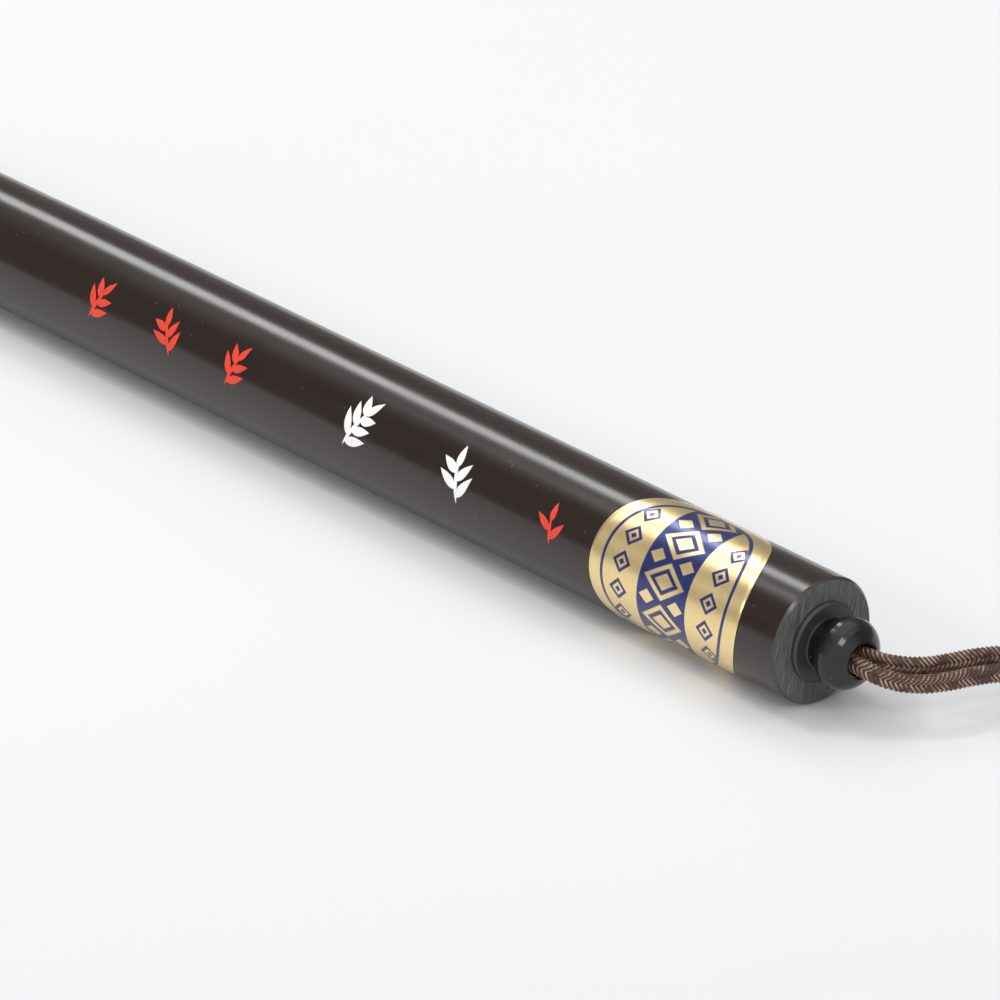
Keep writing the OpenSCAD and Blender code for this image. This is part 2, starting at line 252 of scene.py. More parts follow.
class Wiring:
    """Adds nodes to one tree and joins them. A value may be a number, a colour or a socket."""

    def __init__(self, tree):
        self.tree = tree

    def put(self, socket, value):
        if isinstance(value, bpy.types.NodeSocket):
            self.tree.links.new(value, socket)
        elif hasattr(value, "__len__") and len(value) == 3 and socket.type == "RGBA":
            socket.default_value = (*value, 1.0)
        else:
            socket.default_value = value

    def add(self, kind, inputs=(), **settings):
        node = self.tree.nodes.new(kind)
        for name, value in settings.items():
            setattr(node, name, value)
        for name, value in dict(inputs).items():
            self.put(node.inputs[name], value)
        return node

    def calc(self, operation, *values, clamp=False):
        node = self.add("ShaderNodeMath", operation=operation, use_clamp=clamp)
        for socket, value in zip(node.inputs, values):
            self.put(socket, value)
        return node.outputs[0]

    def blend(self, factor, low, high):
        """A colour from low to high."""
        node = self.add("ShaderNodeMix", data_type="RGBA")
        self.put(node.inputs[0], factor)
        self.put(node.inputs[6], low)
        self.put(node.inputs[7], high)
        return node.outputs[2]

    def between(self, factor, low, high):
        """A number from low to high."""
        node = self.add("ShaderNodeMix", data_type="FLOAT")
        self.put(node.inputs[0], factor)
        self.put(node.inputs[2], low)
        self.put(node.inputs[3], high)
        return node.outputs[0]

    def fade(self, value, start, end):
        """0 before start, 1 after end, smooth between them."""
        node = self.add("ShaderNodeMapRange", interpolation_type="SMOOTHSTEP")
        self.put(node.inputs["Value"], value)
        self.put(node.inputs["From Min"], start)
        self.put(node.inputs["From Max"], end)
        return node.outputs["Result"]

    def place(self):
        """Place on the surface in the brush's own frame."""
        return self.add("ShaderNodeTexCoord").outputs["Object"]

    def xyz(self, vector):
        node = self.add("ShaderNodeSeparateXYZ", {"Vector": vector})
        return node.outputs["X"], node.outputs["Y"], node.outputs["Z"]

    def attribute(self, name):
        return self.add("ShaderNodeAttribute", attribute_name=name).outputs["Fac"]

    def group(self, tree, **inputs):
        node = self.add("ShaderNodeGroup", node_tree=tree)
        for name, value in inputs.items():
            self.put(node.inputs[name.replace("_", " ")], value)
        return node

    def bump(self, height, strength, distance):
        node = self.add("ShaderNodeBump", {
            "Height": height, "Strength": strength, "Distance": distance})
        return node.outputs["Normal"]

    def noise(self, place, scale, detail, roughness):
        node = self.add("ShaderNodeTexNoise", {
            "Vector": place, "Scale": scale, "Detail": detail, "Roughness": roughness})
        return node.outputs["Fac"]

    def slanting_bands(self, place, scale, distortion):
        node = self.add("ShaderNodeTexWave", {
            "Vector": place, "Scale": scale, "Distortion": distortion, "Detail": 2.0},
            wave_type="BANDS", bands_direction="DIAGONAL")
        return node.outputs["Fac"]


def new_group(name, inputs, outputs):
    """An empty node group, and the sockets inside it."""
    tree = bpy.data.node_groups.new(name, "ShaderNodeTree")
    for label, kind, default in inputs:
        socket = tree.interface.new_socket(label, in_out="INPUT", socket_type=kind)
        socket.default_value = default
    for label, kind in outputs:
        tree.interface.new_socket(label, in_out="OUTPUT", socket_type=kind)
    wiring = Wiring(tree)
    given = wiring.add("NodeGroupInput").outputs
    result = wiring.add("NodeGroupOutput").inputs
    return tree, wiring, given, result


def streaks_group():
    """Noise drawn out along one direction: grain, scratches, brushing and hair."""
    name = "Drawn-out streaks"
    if name in bpy.data.node_groups:
        return bpy.data.node_groups[name]
    tree, w, given, result = new_group(
        name,
        [("Place", "NodeSocketVector", (0, 0, 0)),
         ("Turn", "NodeSocketVector", (0, 0, 0)),
         ("Density", "NodeSocketVector", (1, 1, 1)),
         ("Contrast", "NodeSocketFloat", 1.0)],
        [("Value", "NodeSocketFloat")])
    turned = w.add("ShaderNodeVectorRotate", {
        "Vector": given["Place"], "Rotation": given["Turn"]}, rotation_type="EULER_XYZ")
    scaled = w.add("ShaderNodeVectorMath", operation="MULTIPLY")
    w.put(scaled.inputs[0], turned.outputs[0])
    w.put(scaled.inputs[1], given["Density"])
    middle = w.calc("SUBTRACT", w.noise(scaled.outputs[0], 1.0, 4.0, 0.6), 0.5)
    spread = w.calc("MULTIPLY_ADD", middle, given["Contrast"], 0.5, clamp=True)
    w.put(result["Value"], spread)
    return tree


def handled_group():
    """Fine dust specks and faint smears that handling leaves on a smooth surface."""
    name = "Handling marks"
    if name in bpy.data.node_groups:
        return bpy.data.node_groups[name]
    tree, w, given, result = new_group(
        name,
        [("Place", "NodeSocketVector", (0, 0, 0)),
         ("Speck size", "NodeSocketFloat", 0.0002),
         ("Speck share", "NodeSocketFloat", 0.03)],
        [("Specks", "NodeSocketFloat"), ("Smears", "NodeSocketFloat")])
    per_metre = w.calc("DIVIDE", 0.35, given["Speck size"])
    cells = w.add("ShaderNodeTexVoronoi", {
        "Vector": given["Place"], "Scale": per_metre}, feature="F1")
    chance = w.xyz(cells.outputs["Color"])[0]
    chosen = w.calc("LESS_THAN", chance, given["Speck share"])
    dot = w.fade(cells.outputs["Distance"], 0.32, 0.18)
    w.put(result["Specks"], w.calc("MULTIPLY", chosen, dot))
    w.put(result["Smears"], w.noise(given["Place"], 120.0, 5.0, 0.65))
    return tree


def new_material(name):
    """An empty material, its wiring, and its Principled shader."""
    material = bpy.data.materials.new(name)
    material.use_nodes = True
    wiring = Wiring(material.node_tree)
    shader = material.node_tree.nodes["Principled BSDF"]
    return material, wiring, shader


def finish_with(shader, wiring, **inputs):
    for name, value in inputs.items():
        wiring.put(shader.inputs[name.replace("_", " ")], value)


def paint_node(node, material):
    """Gives a carried-over node its material."""
    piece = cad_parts[node]
    if not piece.data.materials:
        piece.data.materials.append(material)
    for slot in piece.material_slots:
        slot.material = material


# ---------------------------------------------------------------- materials

DUST_ON_LACQUER = (0.16, 0.14, 0.12)
DUST_ON_HORN = (0.15, 0.14, 0.13)
# Painted highlight for the tail's chamfer
RIM_PAINTED_HIGHLIGHT = (0.075, 0.070, 0.066)
SCRATCHED_WOOD = (0.20, 0.20, 0.205)
HORN_DARK = (0.0035, 0.0032, 0.0038)
HORN_BROWN = (0.013, 0.010, 0.009)
COLLAR_DARK = (0.012, 0.012, 0.013)
COLLAR_PALE = (0.048, 0.048, 0.050)
RED_WORN = (0.32, 0.018, 0.010)
WHITE_WORN = (0.50, 0.47, 0.43)
GLUE_DARK = (0.42, 0.27, 0.09)
GLUE_PALE = (0.60, 0.44, 0.20)
CRUST_DARK = (0.010, 0.006, 0.004)
CRUST_BROWN = (0.07, 0.035, 0.018)
HEMP_DARK = (0.30, 0.22, 0.12)
HEMP_PALE = (0.66, 0.57, 0.40)
TABLE_DARK = (0.780, 0.785, 0.793)
TABLE_PALE = (0.810, 0.813, 0.820)
# Painted shade at the +X and -Y side of the table
TABLE_PAINTED_SHADE = (0.725, 0.730, 0.742)
# Shares of the foil's own red, green and blue in its pale clouds and in its brushing
FOIL_PALE = (1.08, 1.16, 1.5)
FOIL_BRUSHED = (0.72, 0.64, 0.5)


def scaled_colour(colour, shares):
    return tuple(c * k for c, k in zip(colour, shares))


def lacquered_wood(settings):
    """Satin near-black lacquer, with matte scratched ends."""
    material, w, shader = new_material("Lacquered wood")
    place = w.place()
    x = w.xyz(place)[0]
    grain = w.group(streaks_group(), Place=place, Density=(30, 700, 700), Contrast=1.6)
    scratches = w.group(streaks_group(), Place=place, Turn=(math.radians(14), 0, 0),
                        Density=(2000, 9000, 260), Contrast=2.6)
    handled = w.group(handled_group(), Place=place, Speck_size=0.00022, Speck_share=0.03)
    # The limits stand a little back from the faces, so that rounding can't miss them
    tail_face = w.calc("GREATER_THAN", x, TAIL_X - 0.02 * MM)
    mouth_edge = w.calc("LESS_THAN", x, MOUTH_X + MOUTH_EDGE * 0.98)
    raw = w.calc("MAXIMUM", tail_face, mouth_edge)
    rim = w.calc("GREATER_THAN", x, TAIL_X - TAIL_CHAMFER)
    rim = w.calc("MULTIPLY", rim, w.calc("SUBTRACT", 1.0, tail_face))

    lacquer = w.blend(grain.outputs["Value"], settings.lacquer, settings.grain)
    dust = w.calc("MULTIPLY", handled.outputs["Specks"], 0.2)
    lacquer = w.blend(dust, lacquer, DUST_ON_LACQUER)
    # Painted highlight: the tail's chamfer is lightened into a bright line
    lacquer = w.blend(w.calc("MULTIPLY", rim, 0.4), lacquer, RIM_PAINTED_HIGHLIGHT)
    scored = w.calc("POWER", scratches.outputs["Value"], 2.0)
    ends = w.blend(scored, settings.raw_end, SCRATCHED_WOOD)
    smear = w.between(handled.outputs["Smears"], 0.17, 0.27)
    deep_scratches = w.calc("MULTIPLY", scratches.outputs["Value"], 6.0)
    height = w.between(raw, w.noise(place, 900.0, 3.0, 0.55), deep_scratches)
    finish_with(
        shader, w, Base_Color=w.blend(raw, lacquer, ends),
        Roughness=w.between(raw, smear, 0.62), IOR=1.5, Specular_IOR_Level=0.62,
        Normal=w.bump(height, 0.35, 0.000012))
    return material


def black_horn():
    """Turned and polished, with faint rings and pale specks of dust."""
    material, w, shader = new_material("Black horn")
    place = w.place()
    x, y, z = w.xyz(place)
    radius = w.calc("SQRT", w.calc("ADD", w.calc("MULTIPLY", y, y),
                                   w.calc("POWER", w.calc("SUBTRACT", z, AXIS_Z), 2.0)))
    turning = w.add("ShaderNodeCombineXYZ", {"X": x, "Y": radius})
    rings = w.group(streaks_group(), Place=turning.outputs[0],
                    Density=(7000, 7000, 1), Contrast=1.5)
    handled = w.group(handled_group(), Place=place, Speck_size=0.00018, Speck_share=0.05)
    flow = w.group(streaks_group(), Place=place, Turn=(0, 0.5, 0.4),
                   Density=(160, 700, 400), Contrast=1.8)
    body = w.blend(flow.outputs["Value"], HORN_DARK, HORN_BROWN)
    body = w.blend(w.calc("MULTIPLY", handled.outputs["Specks"], 0.4), body, DUST_ON_HORN)
    collar = w.calc("LESS_THAN", x, TAIL_X + COLLAR_LEN)
    turned = w.blend(rings.outputs["Value"], COLLAR_DARK, COLLAR_PALE)
    body = w.blend(collar, body, turned)
    polish = w.between(handled.outputs["Smears"], 0.10, 0.20)
    finish_with(
        shader, w, Base_Color=body,
        Roughness=w.between(collar, polish, 0.42), IOR=1.5,
        Normal=w.bump(rings.outputs["Value"], 0.25, 0.000006))
    return material


def printed_foil(settings):
    """Brushed gold foil printed with a band, an oval line and rows of lozenges."""
    material, w, shader = new_material("Printed foil")
    x, y, z = w.xyz(w.place())
    along = w.calc("DIVIDE", w.calc("SUBTRACT", TAIL_X, x), MM)
    angle = w.calc("ARCTAN2", w.calc("MULTIPLY", y, -1.0), w.calc("SUBTRACT", z, AXIS_Z))
    across = w.calc("MULTIPLY", w.calc("SUBTRACT", angle, LABEL_TURN), TAIL_R / MM)

    def off(value, middle):
        return w.calc("ABSOLUTE", w.calc("SUBTRACT", value, middle))

    def repeat(pitch, shift=0.0):
        """Distance from the nearest of many places round the shaft."""
        turns = w.calc("DIVIDE", w.calc("ADD", across, shift), pitch)
        near = w.calc("SUBTRACT", turns, w.calc("ROUND", turns))
        return w.calc("MULTIPLY", w.calc("ABSOLUTE", near), pitch)

    def lozenge(row, size, pitch, shift=0.0):
        """Over 1 outside a lozenge, under 1 in it."""
        half_long, half_round = size
        return w.calc("ADD", w.calc("DIVIDE", off(along, row), half_long),
                      w.calc("DIVIDE", repeat(pitch, shift), half_round))

    def inside(value, edge, soft=0.05):
        return w.fade(value, edge + soft, edge - soft)

    def outline(value, outer, inner, soft=0.05):
        return w.calc("MULTIPLY", inside(value, outer, soft),
                      w.fade(value, inner - soft, inner + soft))

    def oval_part(distance, half):
        return w.calc("POWER", w.calc("DIVIDE", distance, half), LABEL_POWER)

    from_middle = off(along, PRINT_MIDDLE)
    from_centre_line = w.calc("ABSOLUTE", across)
    # The oval's value is 1 on the thin line, and less inside it
    oval = w.calc("ADD", oval_part(from_middle, PRINT_OVAL[0]),
                  oval_part(from_centre_line, PRINT_OVAL[1]))
    line = outline(oval, 1.05, 0.955, 0.012)
    band = w.calc("MULTIPLY", inside(oval, 0.97, 0.02), inside(from_middle, BAND_HALF, 0.04))
    big = lozenge(PRINT_MIDDLE, BIG_LOZENGE, BAND_PITCH)
    small = lozenge(PRINT_MIDDLE, SMALL_LOZENGE, BAND_PITCH)
    motif = w.calc("MAXIMUM", outline(big, 1.0, 0.72), inside(small, 1.0))
    for row in CORNER_ROWS:
        corner = lozenge(row, CORNER_LOZENGE, BAND_PITCH, BAND_PITCH / 2)
        motif = w.calc("MAXIMUM", motif, inside(corner, 1.0))
    band = w.calc("MULTIPLY", band, w.calc("SUBTRACT", 1.0, motif))
    rows = 0.0
    for row in SIDE_ROWS:
        shape = lozenge(row, SIDE_LOZENGE, SIDE_PITCH)
        dots = w.calc("MAXIMUM", outline(shape, 1.0, 0.62), inside(shape, 0.3))
        dots = w.calc("MULTIPLY", dots, inside(from_centre_line, SIDE_REACH))
        rows = w.calc("MAXIMUM", rows, dots)
    inked = w.calc("MAXIMUM", w.calc("MAXIMUM", line, band), rows, clamp=True)

    turned = w.add("ShaderNodeCombineXYZ", {
        "X": w.calc("MULTIPLY", along, MM), "Y": w.calc("MULTIPLY", across, MM)})
    brushing = w.group(streaks_group(), Place=turned.outputs[0],
                       Density=(9000, 130, 1), Contrast=1.7)
    clouds = w.group(streaks_group(), Place=turned.outputs[0],
                     Density=(90, 260, 1), Contrast=1.5)
    gold = w.blend(clouds.outputs["Value"], settings.foil, scaled_colour(settings.foil, FOIL_PALE))
    gold = w.blend(w.calc("MULTIPLY", brushing.outputs["Value"], 0.3), gold,
                   scaled_colour(settings.foil, FOIL_BRUSHED))
    ink = w.blend(brushing.outputs["Value"], settings.ink,
                  scaled_colour(settings.ink, (1.9, 1.9, 1.9)))
    height = w.calc("ADD", w.calc("MULTIPLY", brushing.outputs["Value"], 0.4), inked)
    finish_with(
        shader, w, Base_Color=w.blend(inked, gold, ink),
        Metallic=w.between(inked, 1.0, 0.55),
        Roughness=w.between(inked, w.between(brushing.outputs["Value"], 0.24, 0.40), 0.30),
        Coat_Weight=0.6, Coat_Roughness=0.16,
        Normal=w.bump(height, 0.4, 0.000008))
    return material


def brushed_paint(name, colour, worn):
    """Opaque paint laid on by brush, thin in places."""
    material, w, shader = new_material(name)
    place = w.place()
    strokes = w.group(streaks_group(), Place=place, Turn=(0, 0, 0.9),
                      Density=(3500, 900, 900), Contrast=1.8)
    handled = w.group(handled_group(), Place=place, Speck_size=0.0003, Speck_share=0.04)
    thin = w.calc("MULTIPLY", w.calc("POWER", strokes.outputs["Value"], 3.0), 0.5)
    colour = w.blend(thin, colour, worn)
    finish_with(
        shader, w, Base_Color=colour,
        Roughness=w.between(handled.outputs["Smears"], 0.38, 0.58),
        Normal=w.bump(strokes.outputs["Value"], 0.5, 0.00001))
    return material


def braid_yarn(settings):
    """Dark brown yarn, with painted shade between the ribs and a painted copper highlight on their
    crests for the yarn's sheen.
    """
    material, w, shader = new_material("Braid yarn")
    crest = w.attribute("crest")
    place = w.place()
    fibres = w.group(streaks_group(), Place=place, Turn=(0.4, 0.3, 0.5),
                     Density=(9000, 5000, 9000), Contrast=1.7)
    patches = w.noise(place, 700.0, 2.0, 0.6)
    # Painted highlight: the yarn's sheen, painted on the ribs' crests in the crest colour
    painted_crest_sheen = w.calc("MULTIPLY", w.fade(crest, 0.42, 1.0), w.fade(patches, 0.36, 0.62))
    painted_crest_sheen = w.calc("MULTIPLY", painted_crest_sheen, w.between(fibres.outputs["Value"], 0.45, 1.0))
    # Painted shade: dark between the ribs, three times lighter on their crests
    middle = w.blend(crest, settings.dark, scaled_colour(settings.dark, (3.2, 3.2, 3.2)))
    finish_with(
        shader, w, Base_Color=w.blend(painted_crest_sheen, middle, settings.light),
        Roughness=w.between(fibres.outputs["Value"], 0.42, 0.62),
        Sheen_Weight=0.15, Sheen_Roughness=0.4,
        Normal=w.bump(fibres.outputs["Value"], 0.6, 0.00002))
    return material


def plain_yarn(settings):
    """The same yarn on the knot, which has no rib pattern of its own."""
    material, w, shader = new_material("Knotted yarn")
    crest = w.slanting_bands(w.place(), 500.0, 3.0)
    finish_with(
        # Painted highlight: the crest colour laid along slanting bands
        shader, w, Base_Color=w.blend(w.calc("POWER", crest, 3.0), settings.dark, settings.light),
        Roughness=0.55, Normal=w.bump(crest, 0.8, 0.00012))
    return material


def tuft_hair(settings):
    """Hair that is straw at the mouth and darkens unevenly to the tip."""
    material, w, shader = new_material("Tuft hair")
    along = w.attribute("along")
    shade = w.attribute("shade")
    place = w.place()
    fine = w.group(streaks_group(), Place=place, Density=(60, 6500, 6500), Contrast=1.8)
    # Each hair turns brown at its own distance, and a little sooner or later in its streaks
    drift = w.calc("MULTIPLY", w.calc("SUBTRACT", shade, 0.5), 0.62)
    streak = w.calc("MULTIPLY", w.calc("SUBTRACT", fine.outputs["Value"], 0.5), 0.26)
    age = w.calc("ADD", w.calc("ADD", along, drift), streak)
    colour = w.blend(w.fade(age, -0.25, 0.55), settings.straw, settings.tan)
    colour = w.blend(w.fade(age, 0.42, 0.95), colour, settings.brown)
    colour = w.blend(w.fade(along, 0.86, 1.0), colour, settings.tip)
    # Painted shade darkens the low streaks between the hairs, and a painted highlight lightens the
    # raised streaks
    painted_gap_shade = w.calc("MULTIPLY", w.fade(fine.outputs["Value"], 0.38, 0.08), 0.55)
    colour = w.blend(painted_gap_shade, colour, settings.brown)
    bright = w.calc("MULTIPLY", w.fade(fine.outputs["Value"], 0.62, 0.92), 0.45)
    colour = w.blend(bright, colour, settings.straw)
    finish_with(
        shader, w, Base_Color=colour,
        Roughness=w.between(fine.outputs["Value"], 0.36, 0.54), IOR=1.55,
        Normal=w.bump(fine.outputs["Value"], 0.35, 0.00003))
    return material


def dried_glue():
    """Amber glue with small bubbles."""
    material, w, shader = new_material("Dried glue")
    place = w.place()
    bubbles = w.add("ShaderNodeTexVoronoi", {"Vector": place, "Scale": 2500.0})
    clouds = w.group(streaks_group(), Place=place, Density=(400, 400, 400), Contrast=1.5)
    finish_with(
        shader, w, Base_Color=w.blend(clouds.outputs["Value"], GLUE_DARK, GLUE_PALE),
        Roughness=w.between(clouds.outputs["Value"], 0.18, 0.32),
        Normal=w.bump(bubbles.outputs["Distance"], 0.4, 0.00004))
    return material


def burnt_resin():
    """Hair ends seared into a dark crust."""
    material, w, shader = new_material("Burnt resin")
    crust = w.noise(w.place(), 2200.0, 5.0, 0.7)
    finish_with(
        shader, w, Base_Color=w.blend(crust, CRUST_DARK, CRUST_BROWN),
        Roughness=w.between(crust, 0.35, 0.75), Normal=w.bump(crust, 0.8, 0.0001))
    return material


def hemp_thread():
    """Twisted thread, with the twist running slantwise round each turn."""
    material, w, shader = new_material("Hemp thread")
    place = w.place()
    twist = w.slanting_bands(place, 900.0, 1.5)
    fibres = w.group(streaks_group(), Place=place, Density=(9000, 2500, 2500), Contrast=1.8)
    shade = w.calc("MULTIPLY", twist, fibres.outputs["Value"])
    finish_with(
        shader, w, Base_Color=w.blend(shade, HEMP_DARK, HEMP_PALE),
        Roughness=0.75, Normal=w.bump(twist, 0.7, 0.00006))
    return material


def pale_table():
    """Matte white sheet, faintly uneven, with painted shade that makes it slightly greyer towards
    +X and -Y.
    """
    material, w, shader = new_material("Pale table")
    place = w.place()
    x, y = w.xyz(place)[:2]
    sheet = w.blend(w.noise(place, 9.0, 3.0, 0.5), TABLE_DARK, TABLE_PALE)
    # Painted shade: the sheet greys towards +X and -Y
    near = w.fade(w.calc("SUBTRACT", x, y), 0.06, 0.34)
    finish_with(shader, w, Base_Color=w.blend(near, sheet, TABLE_PAINTED_SHADE), Roughness=0.65)
    return material


# ---------------------------------------------------------------- shapes

def smoothstep(t):
    t = min(max(t, 0.0), 1.0)
    return t * t * (3 - 2 * t)


def spline(points, steps):
    """The model's smooth curve through points, with steps pieces between two of them."""
    rows = [np.array(p, float) for p in points]
    last = len(rows) - 1
    line = []
    for i in range(last):
        a, b = rows[max(i - 1, 0)], rows[i]
        c, d = rows[i + 1], rows[min(i + 2, last)]
        for k in range(steps):
            t = k / steps
            line.append(0.5 * (2 * b + (c - a) * t + (2 * a - 5 * b + 4 * c - d) * t * t
                               + (3 * b - a - 3 * c + d) * t ** 3))
    line.append(rows[last])
    return np.array(line)


def even_steps(line, step):
    """The same line with its points one step apart, and each point's distance along it."""
    runs = np.linalg.norm(np.diff(line, axis=0), axis=1)
    reach = np.concatenate([[0.0], np.cumsum(runs)])
    count = int(round(reach[-1] / step))
    at = np.linspace(0.0, reach[-1], count + 1)
    return np.stack([np.interp(at, reach, line[:, k]) for k in range(3)], axis=1), at


def sided_faces(rings, sides):
    """Quads between closed rings of points."""
    return [(i * sides + j, i * sides + (j + 1) % sides,
             (i + 1) * sides + (j + 1) % sides, (i + 1) * sides + j)
            for i in range(rings - 1) for j in range(sides)]


def make_piece(name, points, faces, material, attributes=()):
    """A smooth-shaded mesh object with named values on its points."""
    mesh = bpy.data.meshes.new(name)
    mesh.from_pydata([tuple(p) for p in points], [], faces)
    mesh.validate()
    for label, values in dict(attributes).items():
        layer = mesh.attributes.new(label, "FLOAT", "POINT")
        layer.data.foreach_set("value", np.asarray(values, np.float32))
    mesh.shade_smooth()
    piece = bpy.data.objects.new(name, mesh)
    bpy.context.scene.collection.objects.link(piece)
    piece.data.materials.append(material)
    outwards(mesh)
    return piece


def outwards(mesh):
    """Turns the faces outwards."""
    made = bmesh.new()
    made.from_mesh(mesh)
    bmesh.ops.recalc_face_normals(made, faces=made.faces)
    made.to_mesh(mesh)
    made.free()


def tuft_radius(u, settings):
    """Radius of the hair at distance u in front of the mouth, or behind it when negative."""
    if u >= 0:
        return settings.radius * (1 - (u / TUFT_LEN) ** BELLY_POWER) ** POINT_POWER
    depth = -u
    if depth <= FLARE_LEN:
        return settings.radius + (ROOT_R - settings.radius) * depth / FLARE_LEN
    slope_from = ROOT_DEPTH - BOUND_LEN - GROOVE_SLOPE
    if depth < slope_from:
        return ROOT_R
    return ROOT_R + (BOUND_R - ROOT_R) * min(1.0, (depth - slope_from) / GROOVE_SLOPE)


# ---------------------------------------------------------------- operators

class BRUSH_OT_stage(bpy.types.Operator):
    """Make the camera, the floor and the lights"""

    bl_idname = "brush.stage"
    bl_label = "Stage"

    DIM_WALLS = (0.31, 0.30, 0.295)
    BRIGHT_WALL = (1.0, 1.0, 1.0)
    CEILING = (1.48, 1.49, 1.51)
    ROOM_STRENGTH = 0.95
    # Place along the brush that every window faces
    LIT_X = 0.05
    # Name, direction from the brush, distance, size, power in watts, colour
    WINDOWS = (
        ("window", (-0.68, 0.272, 0.682), 1.5, (0.25, 0.6), 2.9, (0.96, 0.98, 1.0)),
        ("pane over", (-0.48, -0.19, 0.85), 1.5, (0.28, 0.18), 3.6, (0.95, 0.98, 1.0)),
        ("pane beside", (-0.31, -0.81, 0.49), 1.5, (0.28, 0.18), 3.0, (0.95, 0.98, 1.0)),
        ("far window", (0.75, -0.35, 0.75), 2.2, (0.7, 0.5), 7.0, (1.0, 0.98, 0.95)),
    )

    def execute(self, context):
        settings = context.scene.brush_stage
        self.make_camera(context, settings)
        half = settings.floor_size / 2
        floor = make_piece(
            "floor", [(-half, -half, 0), (half, -half, 0), (half, half, 0), (-half, half, 0)],
            [(0, 1, 2, 3)], pale_table())
        self.make_lights(context)
        return {"FINISHED"}

    def make_camera(self, context, settings):
        camera = bpy.data.cameras.new("camera")
        camera.lens = settings.lens
        camera.sensor_width = 36.0
        camera.clip_end = 30.0
        holder = bpy.data.objects.new("camera", camera)
        context.scene.collection.objects.link(holder)
        aim = (Matrix.Rotation(settings.camera_turn, 4, "Z")
               @ Matrix.Rotation(math.pi / 2 - settings.camera_pitch, 4, "X")
               @ Matrix.Rotation(settings.camera_roll, 4, "Z"))
        holder.matrix_world = Matrix.Translation(settings.camera_place) @ aim
        context.scene.camera = holder

    def make_lights(self, context):
        """A room with dim walls, one bright wall and a bright ceiling, and four windows."""
        context.scene.view_settings.view_transform = "Standard"
        world = bpy.data.worlds.new("room")
        world.use_nodes = True
        context.scene.world = world
        w = Wiring(world.node_tree)
        direction = w.add("ShaderNodeTexCoord").outputs["Generated"]
        right, back, up = w.xyz(direction)
        beside = w.calc("SUBTRACT", w.calc("MULTIPLY", right, 0.8), w.calc("MULTIPLY", back, 0.6))
        walls = w.blend(w.fade(beside, 0.15, 0.75), self.DIM_WALLS, self.BRIGHT_WALL)
        height = w.calc("ADD", w.calc("MULTIPLY", up, 0.99), w.calc("MULTIPLY", back, 0.10))
        colour = w.blend(w.fade(height, 0.60, 0.97), walls, self.CEILING)
        background = world.node_tree.nodes["Background"]
        w.put(background.inputs["Color"], colour)
        background.inputs["Strength"].default_value = self.ROOM_STRENGTH

        middle = Vector((self.LIT_X, 0.0, AXIS_Z))
        for name, towards, distance, size, power, tint in self.WINDOWS:
            place = middle + Vector(towards).normalized() * distance
            self.add_window(context, name, place, middle, size, power, tint)

    def add_window(self, context, name, place, target, size, power, colour):
        light = bpy.data.lights.new(name, "AREA")
        light.shape = "RECTANGLE"
        light.size, light.size_y = size
        light.energy = power
        light.color = colour
        holder = bpy.data.objects.new(name, light)
        context.scene.collection.objects.link(holder)
        holder.location = place
        holder.rotation_euler = (target - place).to_track_quat("-Z", "Y").to_euler()


class BRUSH_OT_cord(bpy.types.Operator):
    """Make the flat braided cord"""

    bl_idname = "brush.cord"
    bl_label = "Hanging cord"

    RING_STEP = 0.1 * MM
    SIDES = 28
    CURVE_STEPS = 24
    # How far a rib runs along the braid for each step across it
    LEAN = 0.9
    CREST_POWER = 0.8

    def execute(self, context):
        settings = context.scene.brush_cord
        route = np.array([(TAIL_X / MM + p[0], p[1], p[2]) for p in CORD_ROUTE]) * MM
        line = spline(route, self.CURVE_STEPS)
        line[:, 2] -= [LIES_LOWER * (1 - smoothstep((z - TABLE_Z) / (LEAVES_TABLE_Z - TABLE_Z)))
                       for z in line[:, 2]]
        line, at = even_steps(line, self.RING_STEP)
        points, crest = self.braid(settings, line, at)
        faces = sided_faces(len(line), self.SIDES)
        faces.append(tuple(range(self.SIDES - 1, -1, -1)))
        first = (len(line) - 1) * self.SIDES
        faces.append(tuple(range(first, first + self.SIDES)))
        cord = make_piece("hanging_braid", points, faces, braid_yarn(settings),
                          {"crest": crest})
        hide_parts("hanging_cord")
        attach(cord, "handle")
        paint_node("cord_knot", plain_yarn(settings))
        return {"FINISHED"}

    def braid(self, settings, line, at):
        """Rings of a section with two round ridges, which slanting ribs run over."""
        ridge = settings.thickness / 2
        apart = settings.width / 2 - ridge
        heading = np.gradient(line, axis=0)
        heading /= np.linalg.norm(heading, axis=1)[:, None]
        up = np.array([0.0, 0.0, 1.0]) - heading * heading[:, 2:3]
        up /= np.linalg.norm(up, axis=1)[:, None]
        side = np.cross(heading, up)
        stand = np.array([smoothstep((z - CORD_FLAT_Z) / (CORD_ON_EDGE_Z - CORD_FLAT_Z))
                          for z in line[:, 2]])
        roll = (1 - stand) * math.pi / 2
        wide = up * np.cos(roll)[:, None] + side * np.sin(roll)[:, None]
        thick = np.cross(heading, wide)

        turn = np.arange(self.SIDES) / self.SIDES * 2 * math.pi + math.pi / self.SIDES
        c, s = np.cos(turn), np.sin(turn)
        reach = apart * np.abs(c) + np.sqrt(ridge ** 2 - (apart * s) ** 2)
        flat = reach * c
        # On both faces the ribs slant away from the middle groove, like a row of chevrons
        slant = np.abs(np.abs(flat) - apart) / settings.rib_pitch * self.LEAN
        slant = np.where(np.abs(flat) > apart, slant, -slant)
        phase = at[:, None] / settings.rib_pitch + slant[None, :] + np.where(s > 0, 0.0, 0.5)
        rib = 0.5 + 0.5 * np.cos(2 * math.pi * phase)
        crest = rib ** self.CREST_POWER
        swell = (crest - 0.5) * 2 * settings.rib_height
        size = reach[None, :] + swell
        points = (line[:, None, :]
                  + wide[:, None, :] * (size * c)[:, :, None]
                  + thick[:, None, :] * (size * s)[:, :, None])
        return points.reshape(-1, 3), crest.reshape(-1)


